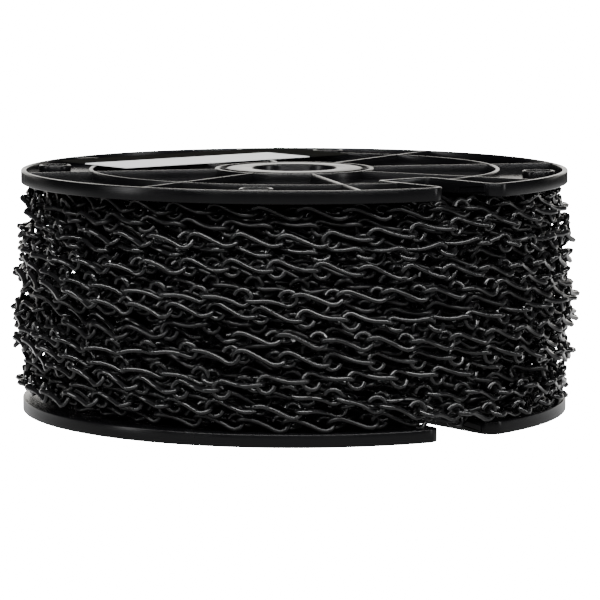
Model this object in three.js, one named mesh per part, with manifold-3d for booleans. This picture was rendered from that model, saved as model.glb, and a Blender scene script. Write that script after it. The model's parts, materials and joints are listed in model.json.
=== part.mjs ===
// A flanged plastic spool wound full of twisted-link wire chain, in millimetres, +Z up the
// spool's axis, with the origin at the middle of the face it stands on.
//
// Two ribbed flanges clip onto a tubular barrel. The chain lies on the barrel in eight layers
// of ten turns. Each layer under the outermost one is a plain ring, each turn of the outermost
// layer is a ring of its own, and the loose end of the chain is made of real interlocked links.
import * as THREE from "three";
import { mergeVertices } from "three/addons/utils/BufferGeometryUtils.js";
import Module from "manifold-3d";

const wasm = await Module();
wasm.setup();

// Spool
const FLANGE_RADIUS = 92;
const SPOOL_HEIGHT = 81;
const RIM_HEIGHT = 4.3;
const RIM_WALL = 1.8;
const WEB_THICKNESS = 1.6;
const RIB_WALL = 1.3;
const RIB_COUNT = 8;
const RIB_START_DEG = 13.2;
const RING_RIB_RADIUS = 68.5;
const BORE_RADIUS = 14.3;
const HUB_FACE_RADIUS = 22.8;
const HUB_WALL_RADIUS = 26.8;
const HUB_WALL = 1.4;
const COLLAR_WALL = 2;
const COLLAR_DEPTH = 10;
const SPIGOT_DEPTH = 6;
const SPIGOT_WALL = 1.8;
const BARREL_RADIUS = 40;
const BARREL_WALL = 2.4;

// Round sockets near the rim
const SOCKET_COUNT = 4;
const SOCKET_START_DEG = 81.7;
const SOCKET_CIRCLE_RADIUS = 82.4;
const SOCKET_OUTER_RADIUS = 5.4;
const SOCKET_INNER_RADIUS = 4.3;

// Slot in each flange that the chain's end is led through
const SLOT_DEG = -51.9;
const SLOT_HALF_WIDTH = 9.5;
const SLOT_INNER_END = 58.3;
const SLOT_MOUTH_RADIUS = 4.8;
const SLOT_WALL = 1.3;

// Sticker lying on the ribs of the upper flange
const STICKER = { length: 98, width: 40, thickness: 0.3, x: -31, y: 42.5, deg: 38.8 };

// Chain
const WIRE = 1.6;
const LOOP_RADIUS = 2.75; // to the wire's centre
const LINK_GAP = 0.3; // play between two linked wires
const LINK_PITCH = 14.2;
const TURNS = 10;
const INNER_LAYERS = 7;
const TURN_HALF_DEPTH = 3.2;
const TURN_HALF_HEIGHT = 3.2;
const OUTER_LAYER_RADIUS = 86; // to the middle of the end turns
const OUTER_LAYER_CROWN = 5.2; // how much further out the middle turns lie
const TAIL_TURN = 5; // the turn, counted from below, that ends in the loose links
const TAIL_LINKS = 6;
const TAIL_MIDDLE_DEG = 90;

// Fineness and clearance
const GAP = 0.3;
const RIM_SEGMENTS = 48;
const HUB_SEGMENTS = 24;
const SOCKET_SEGMENTS = 12;
const RING_SEGMENTS = 36;
const WIRE_SIDES = 6;
const WIRE_STEPS = 26;

const INNER_FACE = RIM_HEIGHT; // where the chain's space starts, above the lower flange
const CHAIN_SPACE = SPOOL_HEIGHT - 2 * RIM_HEIGHT;
const TURN_PITCH = CHAIN_SPACE / TURNS;
const LOOP_OVERLAP = WIRE + LINK_GAP; // distance between two linked wires' centres
const LOOP_OFFSET = (LINK_PITCH - (2 * LOOP_RADIUS - LOOP_OVERLAP)) / 2; // loop centre from link centre
const LAYER_PITCH =
  (OUTER_LAYER_RADIUS - TURN_HALF_DEPTH - BARREL_RADIUS - GAP) / INNER_LAYERS;

const radians = THREE.MathUtils.degToRad;

const flangePlastic = new THREE.MeshStandardMaterial({
  color: 0x121212,
  roughness: 0.35,
  metalness: 0,
});
const barrelPlastic = new THREE.MeshStandardMaterial({
  color: 0x151515,
  roughness: 0.6,
  metalness: 0,
});
const blackWire = new THREE.MeshStandardMaterial({
  color: 0x0b0b0b,
  roughness: 0.35,
  metalness: 0.5,
});
const stickerPaper = new THREE.MeshStandardMaterial({
  color: 0xd8d8d6,
  roughness: 0.5,
  metalness: 0,
});

// A three.js geometry as a manifold-3d solid.
function solid(geometry) {
  const bare = geometry.index ? geometry.toNonIndexed() : geometry.clone();
  for (const name of Object.keys(bare.attributes)) {
    if (name !== "position") bare.deleteAttribute(name);
  }
  const merged = mergeVertices(bare, 1e-4);
  return new wasm.Manifold(
    new wasm.Mesh({
      numProp: 3,
      vertProperties: merged.attributes.position.array,
      triVerts: new Uint32Array(merged.index.array),
    }),
  );
}

// A manifold-3d solid as a three.js geometry.
function geometryOf(made) {
  const { numProp, numVert, vertProperties, triVerts } = made.getMesh();
  const positions = new Float32Array(numVert * 3);
  for (let i = 0; i < numVert; i++) {
    positions.set(vertProperties.subarray(i * numProp, i * numProp + 3), i * 3);
  }
  const geometry = new THREE.BufferGeometry()
    .setAttribute("position", new THREE.BufferAttribute(positions, 3))
    .setIndex(new THREE.BufferAttribute(triVerts, 1));
  geometry.computeVertexNormals();
  return geometry;
}

// A closed section of [radius, height] points, listed anticlockwise, turned about the Z axis.
function turned(section, segments) {
  const profile = [...section, section[0]].map(([radius, height]) => {
    return new THREE.Vector2(radius, height);
  });
  return new THREE.LatheGeometry(profile, segments).rotateX(Math.PI / 2);
}

// A ring about the Z axis with a rectangular section.
function ring(inner, outer, low, high, segments) {
  const section = [
    [inner, low],
    [outer, low],
    [outer, high],
    [inner, high],
  ];
  return turned(section, segments);
}

// A round post about the Z axis.
function post(radius, low, high, segments) {
  return new THREE.CylinderGeometry(radius, radius, high - low, segments)
    .rotateX(Math.PI / 2)
    .translate(0, 0, (low + high) / 2);
}

// A flat bar that starts at one radius and ends at another, turned about the Z axis.
function spoke(from, to, wall, low, high, deg) {
  return new THREE.BoxGeometry(to - from, wall, high - low)
    .translate((from + to) / 2, 0, (low + high) / 2)
    .rotateZ(radians(deg));
}

// The slot's outline, grown by a wall: a square inner end and a mouth that curves into the rim.
function slotPrism(grow, low, high) {
  const side = SLOT_HALF_WIDTH + grow;
  const corner = SLOT_MOUTH_RADIUS - grow;
  const curveStart = FLANGE_RADIUS - SLOT_MOUTH_RADIUS;
  const mouth = SLOT_HALF_WIDTH + SLOT_MOUTH_RADIUS;
  const beyond = FLANGE_RADIUS + 2;
  const shape = new THREE.Shape();
  shape.moveTo(SLOT_INNER_END - grow, -side);
  shape.lineTo(curveStart, -side);
  shape.absarc(curveStart, -mouth, corner, Math.PI / 2, 0, true);
  shape.lineTo(beyond, -mouth);
  shape.lineTo(beyond, mouth);
  shape.lineTo(curveStart + corner, mouth);
  shape.absarc(curveStart, mouth, corner, 0, -Math.PI / 2, true);
  shape.lineTo(SLOT_INNER_END - grow, side);
  shape.closePath();
  return new THREE.ExtrudeGeometry(shape, {
    depth: high - low,
    bevelEnabled: false,
    curveSegments: 5,
  })
    .translate(0, 0, low)
    .rotateZ(radians(SLOT_DEG));
}

// The flange's middle as one turned section: the bore's collar, the raised face round it, the
// groove, and on the other side the spigot that fits inside the barrel.
function hub() {
  const web = RIM_HEIGHT - WEB_THICKNESS;
  const spigotOuter = BARREL_RADIUS - BARREL_WALL - GAP;
  const section = [
    [BORE_RADIUS, 0],
    [HUB_FACE_RADIUS, 0],
    [HUB_FACE_RADIUS, web],
    [spigotOuter, web],
    [spigotOuter, RIM_HEIGHT + SPIGOT_DEPTH],
    [spigotOuter - SPIGOT_WALL, RIM_HEIGHT + SPIGOT_DEPTH],
    [spigotOuter - SPIGOT_WALL, RIM_HEIGHT],
    [BORE_RADIUS + COLLAR_WALL, RIM_HEIGHT],
    [BORE_RADIUS + COLLAR_WALL, RIM_HEIGHT + COLLAR_DEPTH],
    [BORE_RADIUS, RIM_HEIGHT + COLLAR_DEPTH],
  ];
  return turned(section, HUB_SEGMENTS);
}

// One flange as it lies with its ribs down and its smooth web up.
function flange() {
  const web = RIM_HEIGHT - WEB_THICKNESS;
  const ribLow = 0;
  const ribHigh = web + 0.5;
  const pieces = [
    ring(HUB_WALL_RADIUS, FLANGE_RADIUS, web, RIM_HEIGHT, RIM_SEGMENTS),
    ring(FLANGE_RADIUS - RIM_WALL, FLANGE_RADIUS, ribLow, RIM_HEIGHT, RIM_SEGMENTS),
    ring(
      RING_RIB_RADIUS - RIB_WALL / 2,
      RING_RIB_RADIUS + RIB_WALL / 2,
      ribLow,
      ribHigh,
      RIM_SEGMENTS,
    ),
    ring(HUB_WALL_RADIUS - HUB_WALL, HUB_WALL_RADIUS + 1, web, RIM_HEIGHT, HUB_SEGMENTS),
    ring(HUB_WALL_RADIUS - HUB_WALL, HUB_WALL_RADIUS, ribLow, ribHigh, HUB_SEGMENTS),
    hub(),
  ].map(solid);
  const inRim = solid(post(FLANGE_RADIUS - RIM_WALL / 2, -1, RIM_HEIGHT + 1, RIM_SEGMENTS));
  pieces.push(solid(slotPrism(SLOT_WALL, ribLow, ribHigh)).intersect(inRim));
  for (let i = 0; i < RIB_COUNT; i++) {
    const deg = RIB_START_DEG + (i * 360) / RIB_COUNT;
    pieces.push(
      solid(spoke(HUB_WALL_RADIUS - 0.5, FLANGE_RADIUS - 0.5, RIB_WALL, ribLow, ribHigh, deg)),
    );
  }
  const sockets = [];
  for (let i = 0; i < SOCKET_COUNT; i++) {
    const turn = radians(SOCKET_START_DEG + (i * 360) / SOCKET_COUNT);
    const at = [SOCKET_CIRCLE_RADIUS * Math.cos(turn), SOCKET_CIRCLE_RADIUS * Math.sin(turn), 0];
    pieces.push(solid(post(SOCKET_OUTER_RADIUS, ribLow, ribHigh, SOCKET_SEGMENTS).translate(...at)));
    sockets.push(solid(post(SOCKET_INNER_RADIUS, -1, web, SOCKET_SEGMENTS).translate(...at)));
  }
  const cuts = [...sockets, solid(slotPrism(0, -1, RIM_HEIGHT + 1))];
  const made = pieces.reduce((whole, piece) => whole.add(piece));
  return cuts.reduce((whole, cut) => whole.subtract(cut), made).asOriginal();
}

// The same flange turned over, so that its ribs face up: mirrored, because the slots line up.
function mirroredFlange(made) {
  const geometry = geometryOf(made).scale(1, 1, -1).translate(0, 0, SPOOL_HEIGHT);
  const index = geometry.index.array;
  for (let i = 0; i < index.length; i += 3) {
    [index[i + 1], index[i + 2]] = [index[i + 2], index[i + 1]];
  }
  geometry.computeVertexNormals();
  return geometry;
}

function barrel() {
  const end = INNER_FACE + GAP;
  const inner = BARREL_RADIUS - BARREL_WALL;
  return ring(inner, BARREL_RADIUS, end, SPOOL_HEIGHT - end, RING_SEGMENTS);
}

function sticker() {
  const height = SPOOL_HEIGHT + STICKER.thickness / 2 + 0.05;
  return new THREE.BoxGeometry(STICKER.length, STICKER.width, STICKER.thickness)
    .rotateZ(radians(STICKER.deg))
    .translate(STICKER.x, STICKER.y, height);
}

// One whole layer of chain under the outermost one.
function innerLayer(index) {
  const inner = BARREL_RADIUS + GAP + index * LAYER_PITCH;
  const end = INNER_FACE + GAP;
  return ring(inner, inner + LAYER_PITCH - GAP, end, SPOOL_HEIGHT - end, RING_SEGMENTS);
}

const turnHeight = (index) => INNER_FACE + (index + 0.5) * TURN_PITCH;
const turnRadius = (index) =>
  OUTER_LAYER_RADIUS + OUTER_LAYER_CROWN * Math.sin((Math.PI * (index + 0.5)) / TURNS);

// The section of a wound turn: a hexagon with its flats outwards and inwards.
function turnSection() {
  const depth = TURN_HALF_DEPTH;
  const height = TURN_HALF_HEIGHT;
  return [
    [-depth, -height / 2],
    [0, -height],
    [depth, -height / 2],
    [depth, height / 2],
    [0, height],
    [-depth, height / 2],
  ];
}

function wholeTurn(index) {
  const section = turnSection().map(([across, up]) => {
    return [turnRadius(index) + across, turnHeight(index) + up];
  });
  return turned(section, RING_SEGMENTS);
}

// An arc about the Z axis, as a path for an extrusion.
class LevelArc extends THREE.Curve {
  constructor(radius, startDeg, endDeg, height) {
    super();
    Object.assign(this, { radius, startDeg, endDeg, height });
  }

  getPoint(t, target = new THREE.Vector3()) {
    const turn = radians(this.startDeg + (this.endDeg - this.startDeg) * t);
    return target.set(this.radius * Math.cos(turn), this.radius * Math.sin(turn), this.height);
  }
}

const tailRadius = turnRadius(TAIL_TURN);
const tailHeight = turnHeight(TAIL_TURN);
const LINK_TURN_DEG = THREE.MathUtils.radToDeg(2 * Math.asin(LINK_PITCH / 2 / tailRadius));
const TAIL_START_DEG = TAIL_MIDDLE_DEG + ((TAIL_LINKS + 1) / 2) * LINK_TURN_DEG;
const TAIL_END_DEG = TAIL_MIDDLE_DEG - ((TAIL_LINKS + 1) / 2) * LINK_TURN_DEG;
const TURN_END_GAP_DEG = 3;

// The turn that ends in the loose links: it stops where they start.
function openTurn() {
  const path = new LevelArc(
    tailRadius,
    TAIL_START_DEG + TURN_END_GAP_DEG,
    TAIL_END_DEG - TURN_END_GAP_DEG + 360,
    tailHeight,
  );
  const outline = turnSection().map(([across, up]) => new THREE.Vector2(across, up));
  return new THREE.ExtrudeGeometry(new THREE.Shape(outline), {
    steps: RING_SEGMENTS,
    bevelEnabled: false,
    extrudePath: path,
  });
}

// The wire of one link, along X: a loop lying flat, a shank, and a loop standing up.
class LinkWire extends THREE.Curve {
  constructor() {
    super();
    const points = [];
    const loopPoint = (deg, centre, standing) => {
      const along = centre + LOOP_RADIUS * Math.cos(radians(deg));
      const across = LOOP_RADIUS * Math.sin(radians(deg));
      return new THREE.Vector3(along, standing ? 0 : across, standing ? across : 0);
    };
    for (let deg = -12; deg >= -300; deg -= 36) points.push(loopPoint(deg, -LOOP_OFFSET, false));
    points.push(new THREE.Vector3(0, LOOP_RADIUS * 0.35, LOOP_RADIUS * 0.35));
    for (let deg = 120; deg >= -168; deg -= 36) points.push(loopPoint(deg, LOOP_OFFSET, true));
    this.path = new THREE.CatmullRomCurve3(points);
  }

  getPoint(t, target = new THREE.Vector3()) {
    return this.path.getPointAt(t, target);
  }
}

// Link number 0 is held in the winding; the rest are loose.
function chainLink(index) {
  const turn = TAIL_START_DEG - (index + 0.5) * LINK_TURN_DEG;
  const reach = tailRadius * Math.cos(radians(LINK_TURN_DEG / 2));
  const section = new THREE.Shape();
  section.absarc(0, 0, WIRE / 2, 0, 2 * Math.PI, false);
  return new THREE.ExtrudeGeometry(section, {
    steps: WIRE_STEPS,
    curveSegments: WIRE_SIDES / 2,
    bevelEnabled: false,
    extrudePath: new LinkWire(),
  })
    .rotateZ(radians(turn - 90))
    .translate(reach * Math.cos(radians(turn)), reach * Math.sin(radians(turn)), tailHeight);
}

const spool = new THREE.Group();

function add(name, geometry, material) {
  const mesh = new THREE.Mesh(geometry, material.clone());
  mesh.name = name;
  spool.add(mesh);
}

const oneFlange = flange();
add("lower_flange", geometryOf(oneFlange), flangePlastic);
add("upper_flange", mirroredFlange(oneFlange), flangePlastic);
add("barrel", barrel(), barrelPlastic);
add("sticker", sticker(), stickerPaper);
for (let i = 0; i < INNER_LAYERS; i++) add(`chain_layer_${i + 1}`, innerLayer(i), blackWire);
for (let i = 0; i < TURNS; i++) {
  add(`chain_turn_${i + 1}`, i === TAIL_TURN ? openTurn() : wholeTurn(i), blackWire);
}
add("held_link", chainLink(0), blackWire);
for (let i = 1; i <= TAIL_LINKS; i++) add(`loose_link_${i}`, chainLink(i), blackWire);

export default spool;
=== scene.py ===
import json
import math

import bmesh
import bpy
import numpy as np
from mathutils import Matrix, Vector, kdtree


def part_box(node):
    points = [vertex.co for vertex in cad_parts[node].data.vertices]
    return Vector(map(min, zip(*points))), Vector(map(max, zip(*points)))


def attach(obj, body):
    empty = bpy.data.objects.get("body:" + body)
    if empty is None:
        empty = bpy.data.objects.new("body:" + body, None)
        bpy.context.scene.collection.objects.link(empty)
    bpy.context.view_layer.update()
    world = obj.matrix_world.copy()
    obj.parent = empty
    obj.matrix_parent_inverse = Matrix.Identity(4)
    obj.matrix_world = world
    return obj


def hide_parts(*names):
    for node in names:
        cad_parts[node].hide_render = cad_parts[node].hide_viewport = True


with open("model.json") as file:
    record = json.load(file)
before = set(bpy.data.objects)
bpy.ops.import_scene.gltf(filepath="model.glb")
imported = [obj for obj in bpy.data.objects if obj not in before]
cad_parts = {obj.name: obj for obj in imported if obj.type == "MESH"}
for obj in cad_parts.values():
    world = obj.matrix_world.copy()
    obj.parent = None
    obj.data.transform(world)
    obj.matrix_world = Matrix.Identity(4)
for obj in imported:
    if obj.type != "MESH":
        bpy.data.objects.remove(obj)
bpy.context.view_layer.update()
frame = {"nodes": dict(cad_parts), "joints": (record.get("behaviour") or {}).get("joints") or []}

MM = 0.001


# ---- Camera and studio ---------------------------------------------------------------------
# A long lens a little over a metre away looks slightly down on the spool. A long soft lamp hangs
# above it and in front, a faint one stands below that, and one stands at each side. The floor is
# pale paper lit from below, and the room is dark but for a white backdrop.
CAMERA_DISTANCE = 1.1642
CAMERA_HEIGHT = 0.1737
CAMERA_SIDE = 0.0019
CAMERA_PITCH_DEG = 6.744
CAMERA_LENS_MM = 207.6
CAMERA_FILM_MM = 36
CAMERA_REACH = 50
LAMPS_AIM_AT = (0, 0, 0.04)
LAMPS = (  # name, place, width, depth, watts
    ("lamp_above", (0.05, -0.8, 1.1), 3.0, 0.12, 57),
    ("lamp_front", (0.0, -1.35, 0.42), 2.4, 0.06, 8),
    ("lamp_left", (-1.25, -0.45, 0.45), 0.2, 1.0, 5),
    ("lamp_right", (1.3, -0.35, 0.45), 0.2, 1.0, 5),
)
FLOOR_COLOUR = (0.11, 0.11, 0.11, 1)
FLOOR_ROUGHNESS = 0.9
FLOOR_SIZE = 12
FLOOR_DROP = 0.2 * MM
ROOM_DARK = (0.03, 0.03, 0.032)
BACKDROP_WHITE = (2.4, 2.34, 2.22)
BACKDROP_STARTS = 0.6
BACKDROP_FULL = 0.95
BACKDROP_TOP = 0.32
PAPER_SEEN = 25.0
PAPER_MIRRORED = 1.5
PAPER_BEHIND_STARTS = -0.05
PAPER_BEHIND_FULL = 0.05
PAPER_IN_FRONT = 0.25
PAPER_NEAR = 0.3
PAPER_FAR = 0.75

camera_data = bpy.data.cameras.new("camera")
camera_data.lens = CAMERA_LENS_MM
camera_data.sensor_width = CAMERA_FILM_MM
camera_data.clip_end = CAMERA_REACH
camera = bpy.data.objects.new("camera", camera_data)
camera.location = (CAMERA_SIDE, -CAMERA_DISTANCE, CAMERA_HEIGHT)
camera.rotation_euler = (math.radians(90 - CAMERA_PITCH_DEG), 0, 0)
bpy.context.scene.collection.objects.link(camera)
bpy.context.scene.camera = camera


def soft_lamp(name, at, width, depth, watts):
    data = bpy.data.lights.new(name, "AREA")
    data.shape = "RECTANGLE"
    data.size = width
    data.size_y = depth
    data.energy = watts
    lamp = bpy.data.objects.new(name, data)
    lamp.location = at
    aim = Vector(LAMPS_AIM_AT) - Vector(at)
    lamp.rotation_euler = aim.to_track_quat("-Z", "Y").to_euler()
    bpy.context.scene.collection.objects.link(lamp)


for lamp_settings in LAMPS:
    soft_lamp(*lamp_settings)

world = bpy.data.worlds.new("studio")
world.use_nodes = True
bpy.context.scene.world = world
world_nodes = world.node_tree.nodes
world_links = world.node_tree.links
background = world_nodes["Background"]
seen = world_nodes.new("ShaderNodeLightPath")
whole = world_nodes.new("ShaderNodeMix")
whole.data_type = "RGBA"
whole.inputs["B"].default_value = (1, 1, 1, 1)
looking = world_nodes.new("ShaderNodeTexCoord")
sides = world_nodes.new("ShaderNodeSeparateXYZ")
backwards = world_nodes.new("ShaderNodeMapRange")
backwards.interpolation_type = "SMOOTHSTEP"
backwards.inputs["From Min"].default_value = BACKDROP_STARTS
backwards.inputs["From Max"].default_value = BACKDROP_FULL
upwards = world_nodes.new("ShaderNodeMapRange")
upwards.interpolation_type = "SMOOTHSTEP"
upwards.inputs["From Min"].default_value = BACKDROP_TOP
upwards.inputs["From Max"].default_value = BACKDROP_TOP / 3
backdrop = world_nodes.new("ShaderNodeMath")
backdrop.operation = "MULTIPLY"
around = world_nodes.new("ShaderNodeMix")
around.data_type = "RGBA"
around.inputs["A"].default_value = (*ROOM_DARK, 1)
around.inputs["B"].default_value = (*BACKDROP_WHITE, 1)
for start, end in (
    (looking.outputs["Generated"], sides.inputs[0]),
    (sides.outputs["Y"], backwards.inputs["Value"]),
    (sides.outputs["Z"], upwards.inputs["Value"]),
    (backwards.outputs["Result"], backdrop.inputs[0]),
    (upwards.outputs["Result"], backdrop.inputs[1]),
    (backdrop.outputs[0], around.inputs["Factor"]),
    (around.outputs["Result"], whole.inputs["A"]),
    (seen.outputs["Is Camera Ray"], whole.inputs["Factor"]),
    (whole.outputs["Result"], background.inputs["Color"]),
):
    world_links.new(start, end)


def plain_material(name, colour, roughness):
    made = bpy.data.materials.new(name)
    made.use_nodes = True
    surface = made.node_tree.nodes["Principled BSDF"]
    surface.inputs["Base Color"].default_value = colour
    surface.inputs["Roughness"].default_value = roughness
    return made


def glowing_paper():
    """Paper that is white where it is looked at, and is mirrored mostly from behind the spool."""
    made = plain_material("floor_paper", FLOOR_COLOUR, FLOOR_ROUGHNESS)
    tree = made.node_tree
    glow = tree.nodes.new("ShaderNodeEmission")
    looked_at = tree.nodes.new("ShaderNodeLightPath")
    place = tree.nodes.new("ShaderNodeTexCoord")
    sides = tree.nodes.new("ShaderNodeSeparateXYZ")
    behind = tree.nodes.new("ShaderNodeMapRange")
    behind.inputs["From Min"].default_value = PAPER_BEHIND_STARTS
    behind.inputs["From Max"].default_value = PAPER_BEHIND_FULL
    behind.inputs["To Min"].default_value = PAPER_IN_FRONT
    away = tree.nodes.new("ShaderNodeVectorMath")
    away.operation = "LENGTH"
    near = tree.nodes.new("ShaderNodeMapRange")
    near.inputs["From Min"].default_value = PAPER_FAR
    near.inputs["From Max"].default_value = PAPER_NEAR
    lit = tree.nodes.new("ShaderNodeMath")
    lit.operation = "MULTIPLY"
    mirrored = tree.nodes.new("ShaderNodeMath")
    mirrored.operation = "MULTIPLY"
    glowing = tree.nodes.new("ShaderNodeMath")
    glowing.operation = "MAXIMUM"
    strength = tree.nodes.new("ShaderNodeMapRange")
    strength.inputs["To Min"].default_value = PAPER_MIRRORED
    strength.inputs["To Max"].default_value = PAPER_SEEN
    either = tree.nodes.new("ShaderNodeMixShader")
    for start, end in (
        (place.outputs["Object"], sides.inputs[0]),
        (sides.outputs["Y"], behind.inputs["Value"]),
        (place.outputs["Object"], away.inputs[0]),
        (away.outputs["Value"], near.inputs["Value"]),
        (behind.outputs["Result"], lit.inputs[0]),
        (near.outputs["Result"], lit.inputs[1]),
        (lit.outputs[0], mirrored.inputs[0]),
        (looked_at.outputs["Is Glossy Ray"], mirrored.inputs[1]),
        (mirrored.outputs[0], glowing.inputs[0]),
        (looked_at.outputs["Is Camera Ray"], glowing.inputs[1]),
        (looked_at.outputs["Is Camera Ray"], strength.inputs["Value"]),
        (strength.outputs["Result"], glow.inputs["Strength"]),
        (glowing.outputs[0], either.inputs[0]),
        (tree.nodes["Principled BSDF"].outputs[0], either.inputs[1]),
        (glow.outputs[0], either.inputs[2]),
        (either.outputs[0], tree.nodes["Material Output"].inputs["Surface"]),
    ):
        tree.links.new(start, end)
    return made


bpy.ops.mesh.primitive_plane_add(size=FLOOR_SIZE, location=(0, 0, -FLOOR_DROP))
floor = bpy.context.object
floor.name = "studio_floor"
floor.data.materials.append(glowing_paper())


# ---- Finishes shared by the spool's mouldings and the wire -----------------------------------
# Fine grain, flow marks and rubbed patches are one node group. Each material that uses it gives
# the grain's size and depth and how much is rubbed, and takes back masks and a bent normal.
BUMP_HEIGHT = 0.1 * MM
RUB_PATCHES_PER_MARK = 6
RUB_EDGE = 0.78
RUB_FULL = 0.85
MARKS_RANGE = (0.3, 0.7)


def socket(tree, name, kind, where="INPUT", value=None):
    made = tree.interface.new_socket(name=name, in_out=where, socket_type=kind)
    if value is not None:
        made.default_value = value
    return made


def node(tree, kind, **settings):
    made = tree.nodes.new(kind)
    for name, value in settings.items():
        setattr(made, name, value)
    return made


def join(tree, *pairs):
    for start, end in pairs:
        tree.links.new(start, end)


def grain_group():
    tree = bpy.data.node_groups.new("grain_and_rub", "ShaderNodeTree")
    socket(tree, "Grain per mm", "NodeSocketFloat", value=4.0)
    socket(tree, "Grain depth", "NodeSocketFloat", value=0.2)
    socket(tree, "Marks per mm", "NodeSocketFloat", value=0.05)
    socket(tree, "Rubbed share", "NodeSocketFloat", value=0.2)
    socket(tree, "Marks", "NodeSocketFloat", "OUTPUT")
    socket(tree, "Rubbed", "NodeSocketFloat", "OUTPUT")
    socket(tree, "Normal", "NodeSocketVector", "OUTPUT")
    given = node(tree, "NodeGroupInput")
    result = node(tree, "NodeGroupOutput")
    place = node(tree, "ShaderNodeTexCoord")
    in_mm = node(tree, "ShaderNodeVectorMath", operation="SCALE")
    in_mm.inputs["Scale"].default_value = 1 / MM
    grain = node(tree, "ShaderNodeTexNoise")
    grain.inputs["Detail"].default_value = 3
    marks = node(tree, "ShaderNodeTexNoise")
    marks.inputs["Detail"].default_value = 5
    marks.inputs["Distortion"].default_value = 1.2
    patches = node(tree, "ShaderNodeTexNoise")
    patches.inputs["Detail"].default_value = 8
    patches.inputs["Roughness"].default_value = 0.7
    finer = node(tree, "ShaderNodeMath", operation="MULTIPLY")
    finer.inputs[1].default_value = RUB_PATCHES_PER_MARK
    edge = node(tree, "ShaderNodeMath", operation="SUBTRACT")
    edge.inputs[0].default_value = RUB_EDGE
    rubbed = node(tree, "ShaderNodeMapRange", interpolation_type="SMOOTHSTEP")
    rubbed.inputs["From Max"].default_value = RUB_FULL
    bump = node(tree, "ShaderNodeBump")
    bump.inputs["Distance"].default_value = BUMP_HEIGHT
    join(
        tree,
        (place.outputs["Object"], in_mm.inputs[0]),
        (in_mm.outputs["Vector"], grain.inputs["Vector"]),
        (in_mm.outputs["Vector"], marks.inputs["Vector"]),
        (in_mm.outputs["Vector"], patches.inputs["Vector"]),
        (given.outputs["Grain per mm"], grain.inputs["Scale"]),
        (given.outputs["Marks per mm"], marks.inputs["Scale"]),
        (given.outputs["Marks per mm"], finer.inputs[0]),
        (finer.outputs[0], patches.inputs["Scale"]),
        (given.outputs["Rubbed share"], edge.inputs[1]),
        (edge.outputs[0], rubbed.inputs["From Min"]),
        (patches.outputs["Fac"], rubbed.inputs["Value"]),
        (grain.outputs["Fac"], bump.inputs["Height"]),
        (given.outputs["Grain depth"], bump.inputs["Strength"]),
        (marks.outputs["Fac"], result.inputs["Marks"]),
        (rubbed.outputs["Result"], result.inputs["Rubbed"]),
        (bump.outputs["Normal"], result.inputs["Normal"]),
    )
    return tree


GRAIN = grain_group()


def worn_material(name, dark, light, worn, rough, per_mm, depth, marks, share, specular):
    """A surface of two close shades with flow marks, rubbed patches of a third, and grain."""
    made = bpy.data.materials.new(name)
    made.use_nodes = True
    tree = made.node_tree
    surface = tree.nodes["Principled BSDF"]
    surface.inputs["Specular IOR Level"].default_value = specular
    grain = node(tree, "ShaderNodeGroup", node_tree=GRAIN)
    grain.inputs["Grain per mm"].default_value = per_mm
    grain.inputs["Grain depth"].default_value = depth
    grain.inputs["Marks per mm"].default_value = marks
    grain.inputs["Rubbed share"].default_value = share
    shades = node(tree, "ShaderNodeMix", data_type="RGBA")
    shades.inputs["A"].default_value = (*dark, 1)
    shades.inputs["B"].default_value = (*light, 1)
    rubs = node(tree, "ShaderNodeMix", data_type="RGBA")
    rubs.inputs["B"].default_value = (*worn, 1)
    roughness = node(tree, "ShaderNodeMapRange")
    roughness.inputs["From Min"].default_value = MARKS_RANGE[0]
    roughness.inputs["From Max"].default_value = MARKS_RANGE[1]
    roughness.inputs["To Min"].default_value = rough[0]
    roughness.inputs["To Max"].default_value = rough[1]
    join(
        tree,
        (grain.outputs["Marks"], shades.inputs["Factor"]),
        (shades.outputs["Result"], rubs.inputs["A"]),
        (grain.outputs["Rubbed"], rubs.inputs["Factor"]),
        (rubs.outputs["Result"], surface.inputs["Base Color"]),
        (grain.outputs["Marks"], roughness.inputs["Value"]),
        (roughness.outputs["Result"], surface.inputs["Roughness"]),
        (grain.outputs["Normal"], surface.inputs["Normal"]),
    )
    return made


# ---- Flanges -------------------------------------------------------------------------------
# Both flanges are one injection moulding in black polypropylene: a web with a rim, a ring rib,
# eight spokes, a hub with a collar, four sockets, two small pegs, and a slot walled all round
# with a raised frame on one wall. The upper one mirrors the lower one, with the slots in line.
flange_plastic = worn_material(
    "black_polypropylene",
    dark=(0.0018, 0.0018, 0.0021),
    light=(0.0034, 0.0034, 0.0038),
    worn=(0.01, 0.01, 0.0105),
    rough=(0.17, 0.28),
    per_mm=3.0,
    depth=0.12,
    marks=0.03,
    share=0.16,
    specular=0.22,
)

FLANGE_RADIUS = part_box("lower_flange")[1].x
SPOOL_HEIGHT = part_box("upper_flange")[1].z
RIM_HEIGHT = 4.3 * MM
RIM_WALL = 1.8 * MM
WEB_THICKNESS = 1.6 * MM
RIB_WALL = 1.3 * MM
RIB_ROOT = 0.4 * MM
SPOKE_ROOT = 0.5 * MM
EDGE = 0.35 * MM
RING_RIB_RADIUS = 68.5 * MM
HUB_WALL_OUTER = 26.8 * MM
HUB_WALL_INNER = 25.4 * MM
HUB_FACE_RADIUS = 22.8 * MM
BORE_RADIUS = 14.3 * MM
COLLAR_OUTER = 16.3 * MM
COLLAR_TOP = 14.3 * MM
SPIGOT_OUTER = 37.3 * MM
SPIGOT_INNER = 35.5 * MM
SPIGOT_TOP = 10.3 * MM
SPOKE_COUNT = 8
SPOKE_START_DEG = 13.2
SOCKET_COUNT = 4
SOCKET_START_DEG = 81.7
SOCKET_CIRCLE = 82.4 * MM
SOCKET_OUTER = 5.4 * MM
SOCKET_INNER = 4.3 * MM
SLOT_DEG = -51.9
SLOT_HALF_WIDTH = 9.5 * MM
SLOT_INNER_END = 58.3 * MM
SLOT_MOUTH_RADIUS = 4.8 * MM
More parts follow.
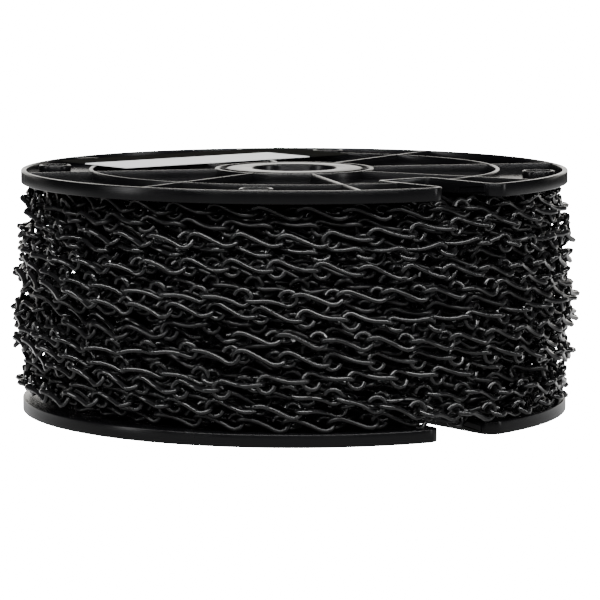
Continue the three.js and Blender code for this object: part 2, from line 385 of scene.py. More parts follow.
SLOT_CORNER_RADIUS = 1.6 * MM
FRAME_START = 74 * MM
FRAME_END = 87 * MM
FRAME_DROP_START = 1.7 * MM
FRAME_DROP_END = 0.6 * MM
FRAME_TALL = 2.3 * MM
FRAME_BAR = 0.4 * MM
FRAME_SOFTENED = 0.2 * FRAME_BAR
FRAME_SHOULDER = 0.7 * FRAME_BAR
FRAME_ROOT = 0.3 * MM
PEG_DEGS = (186, -6)
PEG_OUTER = 1.7 * MM
PEG_INNER = 0.8 * MM
WEB_LEVEL = RIM_HEIGHT - WEB_THICKNESS
LOWER_FLANGE_ASKEW_DEG = -0.9
EDGE_STEPS = 3
RIM_STEPS = 220
MOUTH_STEPS = 10
CORNER_STEPS = 5
HUB_STEPS = 96
RING_RIB_STEPS = 180
SOCKET_STEPS = 40
PEG_STEPS = 24
MERGE_WITHIN = 0.001 * MM


def arc(centre, radius, start, end, count):
    """Points on an arc, both ends included, angles in radians."""
    turns = [start + (end - start) * i / count for i in range(count + 1)]
    return [(centre[0] + radius * math.cos(t), centre[1] + radius * math.sin(t)) for t in turns]


def flange_outline(inset):
    """The flange's edge with its slot along +X, moved into the material by inset."""
    side = SLOT_HALF_WIDTH + SLOT_MOUTH_RADIUS
    reach = math.sqrt((FLANGE_RADIUS - SLOT_MOUTH_RADIUS) ** 2 - side**2)
    mouth = math.atan2(side, reach)
    corner = SLOT_INNER_END + SLOT_CORNER_RADIUS
    across = SLOT_HALF_WIDTH - SLOT_CORNER_RADIUS
    quarter = math.pi / 2
    points = arc((0, 0), FLANGE_RADIUS - inset, mouth, 2 * math.pi - mouth, RIM_STEPS)
    points += arc((reach, -side), SLOT_MOUTH_RADIUS - inset, -mouth, quarter, MOUTH_STEPS)[1:]
    inner = SLOT_CORNER_RADIUS + inset
    points += arc((corner, -across), inner, -quarter, -2 * quarter, CORNER_STEPS)
    points += arc((corner, across), inner, 2 * quarter, quarter, CORNER_STEPS)
    points += arc((reach, side), SLOT_MOUTH_RADIUS - inset, -quarter, mouth, MOUTH_STEPS)[:-1]
    return points


def rounded(inner_first):
    """Offsets that round a square edge of radius EDGE, as (inset, depth below the edge)."""
    turns = [math.pi / 2 * i / EDGE_STEPS for i in range(EDGE_STEPS + 1)]
    offsets = [(EDGE * (1 - math.cos(t)), EDGE * (1 - math.sin(t))) for t in turns]
    return offsets if inner_first else offsets[::-1]


def ring_of(bm, points, height):
    turn = Matrix.Rotation(math.radians(SLOT_DEG), 3, "Z")
    return [bm.verts.new(turn @ Vector((x, y, height))) for x, y in points]


def skin(bm, rings):
    """Quads between each ring of vertices and the next."""
    for first, second in zip(rings, rings[1:]):
        count = len(first)
        for i in range(count):
            j = (i + 1) % count
            bm.faces.new((first[i], first[j], second[j], second[i]))


def fill_between(bm, outer, inner):
    """A flat face with a hole, as triangles."""
    edges = []
    for ring in (outer, inner):
        for i, vertex in enumerate(ring):
            mate = ring[(i + 1) % len(ring)]
            edges.append(bm.edges.get((vertex, mate)) or bm.edges.new((vertex, mate)))
    bmesh.ops.triangle_fill(bm, use_beauty=True, edges=edges)


def full_circle(at, radius, count):
    return arc(at, radius, 0, 2 * math.pi * (1 - 1 / count), count - 1)


def turned_section(section, count, at):
    """A closed section of (radius, height) turned about an upright axis, as its own mesh."""
    bm = bmesh.new()
    rings = []
    for radius, height in section:
        points = full_circle(at, radius, count)
        rings.append([bm.verts.new((x, y, height)) for x, y in points])
    skin(bm, [*rings, rings[0]])
    return bm


def finished(bm, name):
    """The mesh with its normals outwards, as an object at the origin."""
    bmesh.ops.recalc_face_normals(bm, faces=bm.faces)
    mesh = bpy.data.meshes.new(name)
    bm.to_mesh(mesh)
    bm.free()
    made = bpy.data.objects.new(name, mesh)
    bpy.context.scene.collection.objects.link(made)
    return made


def smooth(piece, sharp_deg=32):
    for face in piece.data.polygons:
        face.use_smooth = True
    piece.data.set_sharp_from_angle(angle=math.radians(sharp_deg))


def flange_body():
    """Rim, slot wall, web and hub as one closed skin, ribs down."""
    bm = bmesh.new()
    wall = [(inset, RIM_HEIGHT - depth) for inset, depth in rounded(False)]
    wall += [(inset, depth) for inset, depth in rounded(True)]
    wall += [(RIM_WALL - inset, depth) for inset, depth in rounded(False)]
    wall += [(RIM_WALL, WEB_LEVEL)]
    edge_rings = [ring_of(bm, flange_outline(inset), height) for inset, height in wall]
    skin(bm, edge_rings)

    def edge_up(radius, side):
        """The rounded lower edge of a wall whose face is at radius; side is +1 if it faces out."""
        return [(radius - side * inset, depth) for inset, depth in rounded(side > 0)]

    section = [(HUB_WALL_OUTER, WEB_LEVEL)]
    section += edge_up(HUB_WALL_OUTER, 1)
    section += edge_up(HUB_WALL_INNER, -1)
    section += [(HUB_WALL_INNER, WEB_LEVEL), (HUB_FACE_RADIUS, WEB_LEVEL)]
    section += edge_up(HUB_FACE_RADIUS, 1)
    section += edge_up(BORE_RADIUS, -1)
    section += [(BORE_RADIUS, COLLAR_TOP), (COLLAR_OUTER, COLLAR_TOP)]
    section += [(COLLAR_OUTER, RIM_HEIGHT), (SPIGOT_INNER, RIM_HEIGHT)]
    section += [(SPIGOT_INNER, SPIGOT_TOP), (SPIGOT_OUTER, SPIGOT_TOP), (SPIGOT_OUTER, RIM_HEIGHT)]
    hub_rings = [ring_of(bm, full_circle((0, 0), radius, HUB_STEPS), z) for radius, z in section]
    skin(bm, hub_rings)
    fill_between(bm, edge_rings[-1], hub_rings[0])
    fill_between(bm, edge_rings[0], hub_rings[-1])
    return finished(bm, "flange_body")


def rounded_bar_section(wall, top):
    """Half-width and height pairs of a rib that stands on the web, its free edge rounded."""
    half = wall / 2
    left = [(-half + inset, depth) for inset, depth in rounded(False)]
    right = [(half - inset, depth) for inset, depth in rounded(True)]
    return [(-half, top)] + left[::-1] + right[::-1] + [(half, top)]


def rib_sections():
    """Spokes, ring rib and sockets as separate closed skins that reach into the body."""
    top = WEB_LEVEL + RIB_ROOT
    parts = []
    section = rounded_bar_section(RIB_WALL, top)
    for i in range(SPOKE_COUNT):
        turn = Matrix.Rotation(math.radians(SPOKE_START_DEG + 360 * i / SPOKE_COUNT), 3, "Z")
        bm = bmesh.new()
        ends = (HUB_WALL_OUTER - SPOKE_ROOT, FLANGE_RADIUS - RIM_WALL / 2)
        rings = [[bm.verts.new(turn @ Vector((x, y, z))) for y, z in section] for x in ends]
        skin(bm, rings)
        for ring in rings:
            bm.faces.new(ring)
        parts.append(finished(bm, "spoke"))
    bm = bmesh.new()
    start = math.asin((SLOT_HALF_WIDTH + RIM_WALL / 2) / RING_RIB_RADIUS)
    rings = []
    for i in range(RING_RIB_STEPS + 1):
        turn = math.radians(SLOT_DEG) + start + (2 * math.pi - 2 * start) * i / RING_RIB_STEPS
        across, along = math.cos(turn), math.sin(turn)
        radii = [(RING_RIB_RADIUS + y, z) for y, z in section]
        rings.append([bm.verts.new((r * across, r * along, z)) for r, z in radii])
    skin(bm, rings)
    bm.faces.new(rings[0])
    bm.faces.new(rings[-1])
    parts.append(finished(bm, "ring_rib"))
    middle = (SOCKET_OUTER + SOCKET_INNER) / 2
    tube = rounded_bar_section(SOCKET_OUTER - SOCKET_INNER, top)
    for i in range(SOCKET_COUNT):
        turn = math.radians(SOCKET_START_DEG + 360 * i / SOCKET_COUNT)
        at = (SOCKET_CIRCLE * math.cos(turn), SOCKET_CIRCLE * math.sin(turn))
        bm = turned_section([(middle + y, z) for y, z in tube], SOCKET_STEPS, at)
        parts.append(finished(bm, "socket"))
    return parts


def slot_label_frame():
    """A small raised frame moulded on one wall of the slot, climbing towards the rim."""
    turn = math.radians(SLOT_DEG)
    along = Vector((math.cos(turn), math.sin(turn), 0))
    beside = Vector((-math.sin(turn), math.cos(turn), 0))
    bm = bmesh.new()

    def loop(inset, face):
        corners = [
            (FRAME_START + inset, FRAME_DROP_START + inset),
            (FRAME_END - inset, FRAME_DROP_END + inset),
            (FRAME_END - inset, FRAME_DROP_END + FRAME_TALL - inset),
            (FRAME_START + inset, FRAME_DROP_START + FRAME_TALL - inset),
        ]
        return [
            bm.verts.new(along * s + beside * (SLOT_HALF_WIDTH + face) + Vector((0, 0, z)))
            for s, z in corners
        ]

    bar = FRAME_BAR
    rings = [loop(0, FRAME_ROOT), loop(0, -FRAME_SHOULDER), loop(FRAME_SOFTENED, -bar)]
    rings += [loop(bar - FRAME_SOFTENED, -bar), loop(bar, -FRAME_SHOULDER), loop(bar, FRAME_ROOT)]
    skin(bm, rings + rings[:1])
    return finished(bm, "slot_label_frame")


def groove_pegs():
    """Short hollow pegs in the groove round the hub, one on each side of the bore."""
    made = []
    for turn in PEG_DEGS:
        angle = math.radians(turn)
        middle = (HUB_WALL_INNER + HUB_FACE_RADIUS) / 2
        at = (middle * math.cos(angle), middle * math.sin(angle))
        wall = (PEG_OUTER + PEG_INNER) / 2
        tube = rounded_bar_section(PEG_OUTER - PEG_INNER, WEB_LEVEL + RIB_ROOT)
        bm = turned_section([(wall + y, z) for y, z in tube], PEG_STEPS, at)
        made.append(finished(bm, "groove_peg"))
    return made


def united(body, parts):
    """The parts joined to the body as one closed skin."""
    for part in parts:
        cut = body.modifiers.new("join", "BOOLEAN")
        cut.operation = "UNION"
        cut.solver = "EXACT"
        cut.object = part
    depsgraph = bpy.context.evaluated_depsgraph_get()
    mesh = bpy.data.meshes.new_from_object(body.evaluated_get(depsgraph))
    for thing in [body, *parts]:
        bpy.data.objects.remove(thing)
    bm = bmesh.new()
    bm.from_mesh(mesh)
    bmesh.ops.remove_doubles(bm, verts=bm.verts, dist=MERGE_WITHIN)
    bmesh.ops.dissolve_degenerate(bm, edges=bm.edges, dist=MERGE_WITHIN)
    return bm


def flange(name, upside_down):
    bm = united(flange_body(), rib_sections() + [slot_label_frame()] + groove_pegs())
    if upside_down:
        for vertex in bm.verts:
            vertex.co.z = SPOOL_HEIGHT - vertex.co.z
    else:
        askew = Matrix.Rotation(math.radians(LOWER_FLANGE_ASKEW_DEG), 3, "Z")
        bmesh.ops.transform(bm, matrix=askew.to_4x4(), verts=bm.verts)
    made = finished(bm, name)
    smooth(made)
    made.data.materials.append(flange_plastic)
    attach(made, "spool")
    return made


lower_flange = flange("lower_flange_moulding", False)
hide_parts("lower_flange")
upper_flange = flange("upper_flange_moulding", True)
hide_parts("upper_flange")


# ---- Barrel --------------------------------------------------------------------------------
# A plain extruded tube of the same plastic, left matt, pushed over both flanges' spigots. Only
# its inside shows, down the bore.
barrel_plastic = worn_material(
    "matt_black_tube",
    dark=(0.005, 0.005, 0.005),
    light=(0.009, 0.009, 0.009),
    worn=(0.02, 0.02, 0.02),
    rough=(0.5, 0.65),
    per_mm=2.0,
    depth=0.25,
    marks=0.05,
    share=0.1,
    specular=0.3,
)
barrel = frame["nodes"]["barrel"]
barrel.data.materials.clear()
barrel.data.materials.append(barrel_plastic)


# ---- Sticker -------------------------------------------------------------------------------
# A paper sticker with a printed pale field and a dark band along two sides, stuck on the tops
# of the upper flange's ribs. It carries no words.
STICKER_LONG = 98 * MM
STICKER_WIDE = 40 * MM
STICKER_DEG = 38.8
STICKER_CENTRE = (-31 * MM, 42.5 * MM)
STICKER_CORNER = 1.5 * MM
CORNER_ARC_STEPS = 6
BAND_BACK = 0.41
BAND_END = 0.19
PAPER_SHADES = ((0.72, 0.72, 0.71, 1), (0.86, 0.86, 0.85, 1))
PRINT_SHADE = (0.009, 0.009, 0.008, 1)
PAPER_ROUGHNESS = (0.5, 0.65)
FIBRES_PER_SHEET = 60
FIBRE_BUMP = 0.08


def sticker_material():
    made = bpy.data.materials.new("printed_paper")
    made.use_nodes = True
    tree = made.node_tree
    surface = tree.nodes["Principled BSDF"]
    surface.inputs["Specular IOR Level"].default_value = 0.0
    place = node(tree, "ShaderNodeUVMap", uv_map="sheet")
    parts = node(tree, "ShaderNodeSeparateXYZ")
    past_back = node(tree, "ShaderNodeMath", operation="GREATER_THAN")
    past_back.inputs[1].default_value = 1 - BAND_BACK
    past_end = node(tree, "ShaderNodeMath", operation="GREATER_THAN")
    past_end.inputs[1].default_value = 1 - BAND_END
    band = node(tree, "ShaderNodeMath", operation="MAXIMUM")
    fibres = node(tree, "ShaderNodeTexNoise")
    fibres.inputs["Scale"].default_value = FIBRES_PER_SHEET
    fibres.inputs["Detail"].default_value = 6
    paper = node(tree, "ShaderNodeMix", data_type="RGBA")
    paper.inputs["A"].default_value = PAPER_SHADES[0]
    paper.inputs["B"].default_value = PAPER_SHADES[1]
    print_mix = node(tree, "ShaderNodeMix", data_type="RGBA")
    print_mix.inputs["B"].default_value = PRINT_SHADE
    roughness = node(tree, "ShaderNodeMapRange")
    roughness.inputs["To Min"].default_value = PAPER_ROUGHNESS[0]
    roughness.inputs["To Max"].default_value = PAPER_ROUGHNESS[1]
    bump = node(tree, "ShaderNodeBump")
    bump.inputs["Strength"].default_value = FIBRE_BUMP
    bump.inputs["Distance"].default_value = BUMP_HEIGHT
    join(
        tree,
        (place.outputs["UV"], parts.inputs[0]),
        (parts.outputs["Y"], past_back.inputs[0]),
        (parts.outputs["X"], past_end.inputs[0]),
        (past_back.outputs[0], band.inputs[0]),
        (past_end.outputs[0], band.inputs[1]),
        (place.outputs["UV"], fibres.inputs["Vector"]),
        (fibres.outputs["Fac"], paper.inputs["Factor"]),
        (paper.outputs["Result"], print_mix.inputs["A"]),
        (band.outputs[0], print_mix.inputs["Factor"]),
        (print_mix.outputs["Result"], surface.inputs["Base Color"]),
        (fibres.outputs["Fac"], roughness.inputs["Value"]),
        (roughness.outputs["Result"], surface.inputs["Roughness"]),
        (fibres.outputs["Fac"], bump.inputs["Height"]),
        (bump.outputs["Normal"], surface.inputs["Normal"]),
    )
    return made


def sticker():
    low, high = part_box("sticker")
    half = (STICKER_LONG / 2 - STICKER_CORNER, STICKER_WIDE / 2 - STICKER_CORNER)
    outline = []
    for quadrant, (sx, sy) in enumerate([(1, 1), (-1, 1), (-1, -1), (1, -1)]):
        start = quadrant * math.pi / 2
        centre = (sx * half[0], sy * half[1])
        outline += arc(centre, STICKER_CORNER, start, start + math.pi / 2, CORNER_ARC_STEPS)
    bm = bmesh.new()
    turn = Matrix.Rotation(math.radians(STICKER_DEG), 4, "Z")
    turn = Matrix.Translation((*STICKER_CENTRE, 0)) @ turn
    sheet_map = bm.loops.layers.uv.new("sheet")
    rings = [
        [bm.verts.new(turn @ Vector((x, y, height))) for x, y in outline]
        for height in (low.z, high.z)
    ]
    skin(bm, rings)
    bm.faces.new(rings[0])
    bm.faces.new(rings[1])
    places = {v: p for ring in rings for v, p in zip(ring, outline)}
    for face in bm.faces:
        for loop in face.loops:
            x, y = places[loop.vert]
            loop[sheet_map].uv = (x / STICKER_LONG + 0.5, y / STICKER_WIDE + 0.5)
    made = finished(bm, "blank_sticker")
    made.data.materials.append(sticker_material())
    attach(made, "spool")
    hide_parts("sticker")


sticker()


# ---- Chain wire and one link -----------------------------------------------------------------
# The links are bent from round steel wire with a thin black coating that shines where it is
# smooth and is rubbed grey here and there. Each has a loop at both ends, the second turned a
# quarter round from the first, with the cut ends left just clear of the shank.
black_wire = worn_material(
    "black_coated_wire",
    dark=(0.004, 0.004, 0.0042),
    light=(0.009, 0.009, 0.0095),
    worn=(0.03, 0.028, 0.026),
    rough=(0.055, 0.11),
    per_mm=2.5,
    depth=0.1,
    marks=0.12,
    share=0.14,
    specular=0.5,
)

WIRE_RADIUS = 0.8 * MM
LOOP_RADIUS = 2.75 * MM
LINK_PITCH = 14.2 * MM
LOOP_OFFSET = 5.3 * MM
FLAT_LOOP_DEGS = (-14, -300)
UPRIGHT_LOOP_DEGS = (120, -166)
SHANK_LEAN_DEG = 30
SHANK_PULL = 6.5 * MM
WIRE_SHARP_DEG = 80


def link_path(loop_steps, shank_steps):
    """Points along a link's wire: a flat loop, the shank, an upright loop."""

    def loop(degs, middle):
        """The loop's points as (along the link, away from its middle line)."""
        first, last = degs
        steps = range(loop_steps + 1)
        turns = [math.radians(first + (last - first) * i / loop_steps) for i in steps]
        return [(middle + LOOP_RADIUS * math.cos(t), LOOP_RADIUS * math.sin(t)) for t in turns]

    points = [Vector((x, away, 0)) for x, away in loop(FLAT_LOOP_DEGS, -LOOP_OFFSET)]
    upright = [Vector((x, 0, away)) for x, away in loop(UPRIGHT_LOOP_DEGS, LOOP_OFFSET)]
    lean = math.radians(SHANK_LEAN_DEG)
    begin, end = points[-1], upright[0]
    leave = Vector((math.cos(lean), -math.sin(lean), 0))
    arrive = Vector((math.cos(lean), 0, math.sin(lean)))
    for i in range(1, shank_steps):
        t = i / shank_steps
        points.append(
            begin * (2 * t**3 - 3 * t**2 + 1)
            + leave * SHANK_PULL * (t**3 - 2 * t**2 + t)
            + end * (3 * t**2 - 2 * t**3)
            + arrive * SHANK_PULL * (t**3 - t**2)
        )
    return points + upright


def link_mesh(name, sides, loop_steps, shank_steps, placed=None):
    """One link as a closed tube; a tube of few sides is widened to look as thick as a round one."""
    points = link_path(loop_steps, shank_steps)
    last = len(points) - 1
    radius = WIRE_RADIUS * 2 / (1 + math.cos(math.pi / sides))
    bm = bmesh.new()
    rings = []
    across = Vector((0, 0, 1))
    for i, point in enumerate(points):
        ahead = points[min(i + 1, last)] - points[max(i - 1, 0)]
        ahead.normalize()
        across = (across - ahead * across.dot(ahead)).normalized()
        beside = ahead.cross(across)
        ring = []
        for k in range(sides):
            t = 2 * math.pi * k / sides
            ring.append(point + radius * math.cos(t) * across + radius * math.sin(t) * beside)
        rings.append([bm.verts.new(spot) for spot in ring])
    skin(bm, rings)
    bm.faces.new(rings[0])
    bm.faces.new(rings[-1])
    if placed is not None:
        bmesh.ops.transform(bm, matrix=placed, verts=bm.verts)
    made = finished(bm, name)
    smooth(made, WIRE_SHARP_DEG)
    return made


# ---- Loose end of the chain ------------------------------------------------------------------
# The outer end of the chain lies in the sixth turn at the back: one link still held by the
# winding and six loose ones, each hooked through the standing loop of the link before it.
LOOSE_LINK_STEPS = (12, 22, 12)  # sides, steps round a loop, steps along the shank

pivots = [Vector(j["pos_m"]) for j in frame["joints"]]
pivot_angles = [math.atan2(p.y, p.x) for p in pivots]
link_turn = pivot_angles[0] - pivot_angles[1]
far_wire = LOOP_OFFSET + LOOP_RADIUS
link_reach = math.sqrt(pivots[0].xy.length ** 2 - far_wire**2)
first_angle = pivot_angles[0] + math.atan2(far_wire, link_reach)
tail_height = pivots[0].z


def link_place(index):
    """The frame of a link at the loose end: 0 is the held one."""
    turn = first_angle - index * link_turn
    at = (link_reach * math.cos(turn), link_reach * math.sin(turn), tail_height)
    return Matrix.Translation(at) @ Matrix.Rotation(turn - math.pi / 2, 4, "Z")


for index in range(len(pivots) + 1):
    cad_name = f"loose_link_{index}" if index else "held_link"
    link = link_mesh(f"wire_{cad_name}", *LOOSE_LINK_STEPS, link_place(index))
    link.data.materials.append(black_wire)
    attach(link, f"loose_{index}" if index else "spool")
    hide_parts(cad_name)


# ---- Wound chain -----------------------------------------------------------------------------
# The chain is laid round the barrel in helical turns, layer upon layer, each link hooked in the
# last. It is slack: every turn wanders up, down and outwards, its neighbours push it aside, and
# its twist drifts along its length. Lengths in this section are in millimetres.
CHAIN_SEED = 11
OUTER_LINK_STEPS = (5, 10, 4)
HIDDEN_TURNS = (9, 9, 10, 10, 11, 12, 13, 13)
HIDDEN_LAYERS = len(HIDDEN_TURNS)
FIRST_RADIUS = 43.8
LAST_HIDDEN_RADIUS = 85.4
HIDDEN_CROWN = 3.6
MEAN_CROWN = 0.6
OUTER_RADIUS = 88.0
OUTER_CROWN = 4.0
LOW_END = 7.1
HIGH_END = 73.5
OUTER_TUCK = 1.8
OUTER_FOOT = 2.0
OUTER_RISE = 6.3
PITCH = LINK_PITCH / MM
OUTER_SLACK = 1.6
END_GAP_LINKS = 0.75
CHAIN_THICKNESS = 5.5
DRIFT_TAILS = 3
WANDER_HEIGHT = 2.9
WANDER_OUT = 1.5
WANDER_REACH = 4
ROLL = math.radians(135)
CALM_ROLL = math.radians(180)
ROLL_DRIFT = math.radians(46)
ROLL_REACH = 3
ROLL_JITTER = math.radians(14)
CALM_LINKS = 5
SLOT_SINK = 4.4
SLOT_SINK_SPAN_DEG = 7.0
SETTLING_ROUNDS = 60
ROUNDS_PER_SEARCH = 12
SEARCH_BEYOND = 3
PUSH_SHARE = 0.25
LARGEST_SHIFT = 0.8
PULLS_PER_ROUND = 4

draws = np.random.default_rng(CHAIN_SEED)


def drift(count, reach):
    """Numbers of unit spread that change smoothly along the chain, over reach links or so."""
    tail = DRIFT_TAILS * reach
    steps = np.arange(-tail, tail + 1)
    weight = np.exp(-0.5 * (steps / reach) ** 2)
    values = np.convolve(draws.standard_normal(count + 2 * tail), weight, "valid")[:count]
    return values / np.sqrt((weight**2).sum())


def crowned(radius, crown, height):
    """The winding's radius at a height: it bulges, stands out at its foot and tucks in above."""
    level = np.clip((height - LOW_END) / (HIGH_END - LOW_END), 0, 1)
    ends = OUTER_FOOT * (1 - level) ** 4 - OUTER_TUCK * level**6
    return radius + crown * np.sin(math.pi * level) + ends


def helix(radius, crown, turn, low, high, turns):
    """Junctions one pitch apart, going clockwise from turn and from one height to another."""
    places = []
    count = int(turns * 2 * math.pi * (radius + MEAN_CROWN * crown) / PITCH)
    for i in range(count):
        height = low + (high - low) * i / count
        here = crowned(radius, crown, height)
        places.append((here * math.cos(turn), here * math.sin(turn), height))
        turn -= 2 * math.asin(PITCH / 2 / here)
    return places, turn


tail_radius = math.hypot(link_reach, LINK_PITCH / 2) / MM
tail_start = first_angle + link_turn / 2
tail_level = tail_height / MM
tail_links = len(pivots) + 1

# the first length: all hidden layers, the lower half of the last layer, and the loose end
places = []
turn = 0.0
for layer in range(HIDDEN_LAYERS):
    share = layer / (HIDDEN_LAYERS - 1)
    radius = FIRST_RADIUS + (LAST_HIDDEN_RADIUS - FIRST_RADIUS) * share
    ends = (LOW_END, HIGH_END) if layer % 2 == 0 else (HIGH_END, LOW_END)
    laid, turn = helix(radius, HIDDEN_CROWN * share, turn, *ends, HIDDEN_TURNS[layer])
    places += laid
hidden_count = len(places)
lower = []
turn = tail_start
height = tail_level
while height > LOW_END:
    here = crowned(OUTER_RADIUS, OUTER_CROWN, height)
    if not lower:
        here = tail_radius
    lower.append((here * math.cos(turn), here * math.sin(turn), height))
    turn += 2 * math.asin(PITCH / 2 / here)
    height -= OUTER_RISE * PITCH / (2 * math.pi * here)
places += lower[::-1]
end_of_first = len(places)
for i in range(1, tail_links + 1):
    turn = tail_start - i * link_turn
    places.append((tail_radius * math.cos(turn), tail_radius * math.sin(turn), tail_level))
# the second length: the upper half of the last layer, from where the loose links end
start_of_second = len(places)
upper_low = tail_level + OUTER_RISE * tail_links * link_turn / (2 * math.pi)
upper_turns = (HIGH_END - upper_low) / OUTER_RISE
laid, _ = helix(
    OUTER_RADIUS,
    OUTER_CROWN,
    tail_start - (tail_links + END_GAP_LINKS) * link_turn,
    upper_low,
    HIGH_END,
    upper_turns,
)
places += laid

joints = np.array(places)
total = len(joints)
fixed = np.zeros(total, bool)
fixed[end_of_first - 2 : start_of_second] = True
calm = np.ones(total)
for i in range(CALM_LINKS):
    calm[end_of_first - 2 - i] = i / CALM_LINKS
calm[end_of_first - 1 : start_of_second] = 0
spread = np.hypot(joints[:, 0], joints[:, 1])
outward = joints[:, :2] / spread[:, None]
joints[:, :2] += outward * (drift(total, WANDER_REACH) * WANDER_OUT * calm)[:, None]
joints[:, 2] += drift(total, WANDER_REACH) * WANDER_HEIGHT * calm
# the lowest turns sink a little way into the lower flange's slot, where nothing holds them up
from_slot = np.degrees(np.arctan2(joints[:, 1], joints[:, 0])) - SLOT_DEG
sink = SLOT_SINK * np.exp(-((from_slot / SLOT_SINK_SPAN_DEG) ** 2))
sink *= np.clip((LOW_END + 2 * OUTER_RISE - joints[:, 2]) / (2 * OUTER_RISE), 0, 1)
joints[:, 2] -= sink
lowest = LOW_END - sink

linked = np.ones(total - 1, bool)
linked[start_of_second - 1] = False
ceiling = crowned(OUTER_RADIUS + OUTER_SLACK, OUTER_CROWN, joints[:, 2])


def neighbours(samples, reach):
    """Pairs of places on the chain that are close to each other but not along its length."""
    tree = kdtree.KDTree(len(samples))
    for i, place in enumerate(samples):
        tree.insert(place, i)
    tree.balance()
    pairs = []
    for i, place in enumerate(samples):
        pairs += [(i, j) for _, j, _ in tree.find_range(place, reach) if j > i + 2]
    return np.array(pairs)


def halfway(joints):
    """The junctions with the middle of each link between them."""
    samples = np.empty((2 * total - 1, 3))
    samples[0::2] = joints
    samples[1::2] = (joints[1:] + joints[:-1]) / 2
    return samples


for settling in range(SETTLING_ROUNDS):
    samples = halfway(joints)
    if settling % ROUNDS_PER_SEARCH == 0:
        pairs = neighbours(samples, CHAIN_THICKNESS + SEARCH_BEYOND)
    gap = samples[pairs[:, 1]] - samples[pairs[:, 0]]
    apart = np.linalg.norm(gap, axis=1)
    close = apart < CHAIN_THICKNESS
    overlap = (CHAIN_THICKNESS - apart[close]) / (apart[close] + 1e-6)
    push = gap[close] * (overlap * PUSH_SHARE)[:, None]
    moves = np.zeros_like(samples)
    np.add.at(moves, pairs[close, 1], push)
    np.add.at(moves, pairs[close, 0], -push)
    shift = moves[0::2].copy()
    shift[1:] += moves[1::2] * 0.5
    shift[:-1] += moves[1::2] * 0.5
    size = np.linalg.norm(shift, axis=1)
    shift *= (np.minimum(size, LARGEST_SHIFT) / (size + 1e-9))[:, None]
    joints += np.where(fixed[:, None], 0, shift)
    joints[:, 2] = np.clip(joints[:, 2], lowest, HIGH_END)
    spread = np.hypot(joints[:, 0], joints[:, 1])
    bounded = np.clip(spread, FIRST_RADIUS, ceiling)
    joints[:, :2] *= np.where(fixed, 1, bounded / spread)[:, None]
    for _ in range(PULLS_PER_ROUND):
        for first in (0, 1):
            a = np.arange(first, total - 1, 2)
            a = a[linked[a]]
            along = joints[a + 1] - joints[a]
            length = np.linalg.norm(along, axis=1)
            fix = along * ((length - PITCH) / length * 0.5)[:, None]
            joints[a] += np.where(fixed[a, None], 0, fix)
            joints[a + 1] -= np.where(fixed[a + 1, None], 0, fix)

direction = joints[1:] - joints[:-1]
direction /= np.linalg.norm(direction, axis=1)[:, None]
middle = (joints[1:] + joints[:-1]) / 2
outward = middle * (1, 1, 0)
outward /= np.hypot(middle[:, 0], middle[:, 1])[:, None]
sideways = np.cross(outward, direction)
roll = ROLL + drift(total - 1, ROLL_REACH) * ROLL_DRIFT
roll += draws.standard_normal(total - 1) * ROLL_JITTER
roll = CALM_ROLL + (roll - CALM_ROLL) * calm[:-1]
upright = sideways * np.cos(roll)[:, None] + outward * np.sin(roll)[:, None]


def link_layer_tree():
    """Puts a link on each point, along one of its vectors and turned towards the other."""
    tree = bpy.data.node_groups.new("hook_up_links", "GeometryNodeTree")
    socket(tree, "Places", "NodeSocketGeometry")
    socket(tree, "Link", "NodeSocketObject")
    socket(tree, "Link size", "NodeSocketFloat", value=1.0)
    socket(tree, "Finish", "NodeSocketMaterial")
    socket(tree, "Chain", "NodeSocketGeometry", "OUTPUT")
    given = node(tree, "NodeGroupInput").outputs
    result = node(tree, "NodeGroupOutput")
    points = node(tree, "GeometryNodeMeshToPoints")
    along = node(tree, "GeometryNodeInputNamedAttribute", data_type="FLOAT_VECTOR")
    along.inputs["Name"].default_value = "along"
    up = node(tree, "GeometryNodeInputNamedAttribute", data_type="FLOAT_VECTOR")
    up.inputs["Name"].default_value = "upright"
    turn = node(tree, "FunctionNodeAxesToRotation", primary_axis="X", secondary_axis="Z")
    link = node(tree, "GeometryNodeObjectInfo")
    link.inputs["As Instance"].default_value = True
    placed = node(tree, "GeometryNodeInstanceOnPoints")
    real = node(tree, "GeometryNodeRealizeInstances")
    coated = node(tree, "GeometryNodeSetMaterial")
    join(
        tree,
        (given["Places"], points.inputs["Mesh"]),
        (points.outputs[0], placed.inputs["Points"]),
        (given["Link"], link.inputs["Object"]),
        (link.outputs["Geometry"], placed.inputs["Instance"]),
        (given["Link size"], placed.inputs["Scale"]),
        (along.outputs["Attribute"], turn.inputs["Primary Axis"]),
        (up.outputs["Attribute"], turn.inputs["Secondary Axis"]),
        (turn.outputs[0], placed.inputs["Rotation"]),
        (placed.outputs[0], real.inputs[0]),
        (real.outputs[0], coated.inputs["Geometry"]),
        (given["Finish"], coated.inputs["Material"]),
        (coated.outputs[0], result.inputs[0]),
    )
    return tree


HOOK_UP = link_layer_tree()


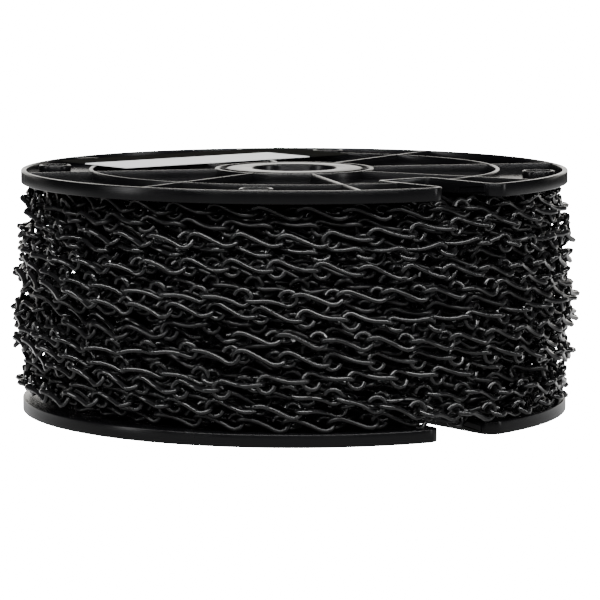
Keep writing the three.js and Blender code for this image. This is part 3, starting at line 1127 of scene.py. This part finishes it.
def chain_piece(name, links, pattern, finish, cad_name):
    """The given links of the chain as one plain mesh, in place of a node of the frame."""
    mesh = bpy.data.meshes.new(name)
    mesh.from_pydata([tuple(p * MM) for p in middle[links]], [], [])
    for title, values in (("along", direction), ("upright", upright)):
        layer = mesh.attributes.new(title, "FLOAT_VECTOR", "POINT")
        layer.data.foreach_set("vector", values[links].ravel())
    piece = bpy.data.objects.new(name, mesh)
    bpy.context.scene.collection.objects.link(piece)
    maker = piece.modifiers.new("hook up", "NODES")
    maker.node_group = HOOK_UP
    sockets = {
        item.name: item.identifier
        for item in HOOK_UP.interface.items_tree
        if item.item_type == "SOCKET" and item.in_out == "INPUT"
    }
    maker[sockets["Link"]] = pattern
    maker[sockets["Link size"]] = 1.0
    maker[sockets["Finish"]] = finish
    depsgraph = bpy.context.evaluated_depsgraph_get()
    made = bpy.data.meshes.new_from_object(piece.evaluated_get(depsgraph))
    piece.modifiers.clear()
    piece.data = made
    bpy.data.meshes.remove(mesh)
    made.name = name
    smooth(piece, WIRE_SHARP_DEG)
    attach(piece, "spool")
    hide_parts(cad_name)
    return piece


TURNS = 10
TURN_SPACE = (SPOOL_HEIGHT - 2 * RIM_HEIGHT) / TURNS / MM
outer_link = link_mesh("outer_link_pattern", *OUTER_LINK_STEPS)
number = np.arange(total - 1)
in_last_layer = (number >= hidden_count) & linked
in_last_layer &= (number < end_of_first - 1) | (number >= start_of_second)
nominal = np.array([place[2] for place in places])[:-1]
turn_of_link = np.clip((nominal - RIM_HEIGHT / MM) // TURN_SPACE, 0, TURNS - 1)
for i in range(TURNS):
    links = np.flatnonzero(in_last_layer & (turn_of_link == i))
    chain_piece(f"wound_turn_{i + 1}", links, outer_link, black_wire, f"chain_turn_{i + 1}")


# ---- Hidden layers of chain ------------------------------------------------------------------
# Under the last layer the same chain is wound back and forth over itself down to the barrel.
# Simpler links will do there, because only glimpses of the outermost of them show. Their wire is
# a darker, rougher, less shiny copy of the outer wire: painted shade that keeps the deep layers
# dark.
# painted shade: the inner layers' wire gets a darker base colour than the outer wire
INNER_WIRE_PAINTED_SHADE = (0.003, 0.003, 0.0032, 1)
HIDDEN_ROUGHNESS = 0.3
HIDDEN_SPECULAR = 0.3
HIDDEN_GRAIN_DEPTH = 0.1
inner_wire_painted_darker = plain_material("black_wire_painted_darker_inside", INNER_WIRE_PAINTED_SHADE, HIDDEN_ROUGHNESS)
hidden_tree = inner_wire_painted_darker.node_tree
hidden_grain = node(hidden_tree, "ShaderNodeGroup", node_tree=GRAIN)
hidden_grain.inputs["Grain depth"].default_value = HIDDEN_GRAIN_DEPTH
hidden_surface = hidden_tree.nodes["Principled BSDF"]
hidden_surface.inputs["Specular IOR Level"].default_value = HIDDEN_SPECULAR
join(hidden_tree, (hidden_grain.outputs["Normal"], hidden_surface.inputs["Normal"]))

GLIMPSED_LINK_STEPS = (5, 8, 3)
HIDDEN_LINK_STEPS = (5, 6, 2)
CAD_LAYERS = 7
glimpsed_link = link_mesh("glimpsed_link_pattern", *GLIMPSED_LINK_STEPS)
hidden_link = link_mesh("hidden_link_pattern", *HIDDEN_LINK_STEPS)
start_radius = np.hypot(*np.array(places)[:-1, :2].T)
layer_tops = [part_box(f"chain_layer_{i + 1}")[1].x / MM for i in range(CAD_LAYERS)]
layer_of_link = np.minimum(np.searchsorted(layer_tops, start_radius), CAD_LAYERS - 1)
for i in range(CAD_LAYERS):
    links = np.flatnonzero((number < hidden_count) & (layer_of_link == i))
    # every inner layer, the glimpsed outermost one too, takes the darker painted-shade wire
    pattern = glimpsed_link if i == CAD_LAYERS - 1 else hidden_link
    chain_piece(f"wound_layer_{i + 1}", links, pattern, inner_wire_painted_darker, f"chain_layer_{i + 1}")
for pattern in (outer_link, glimpsed_link, hidden_link):
    bpy.data.objects.remove(pattern)
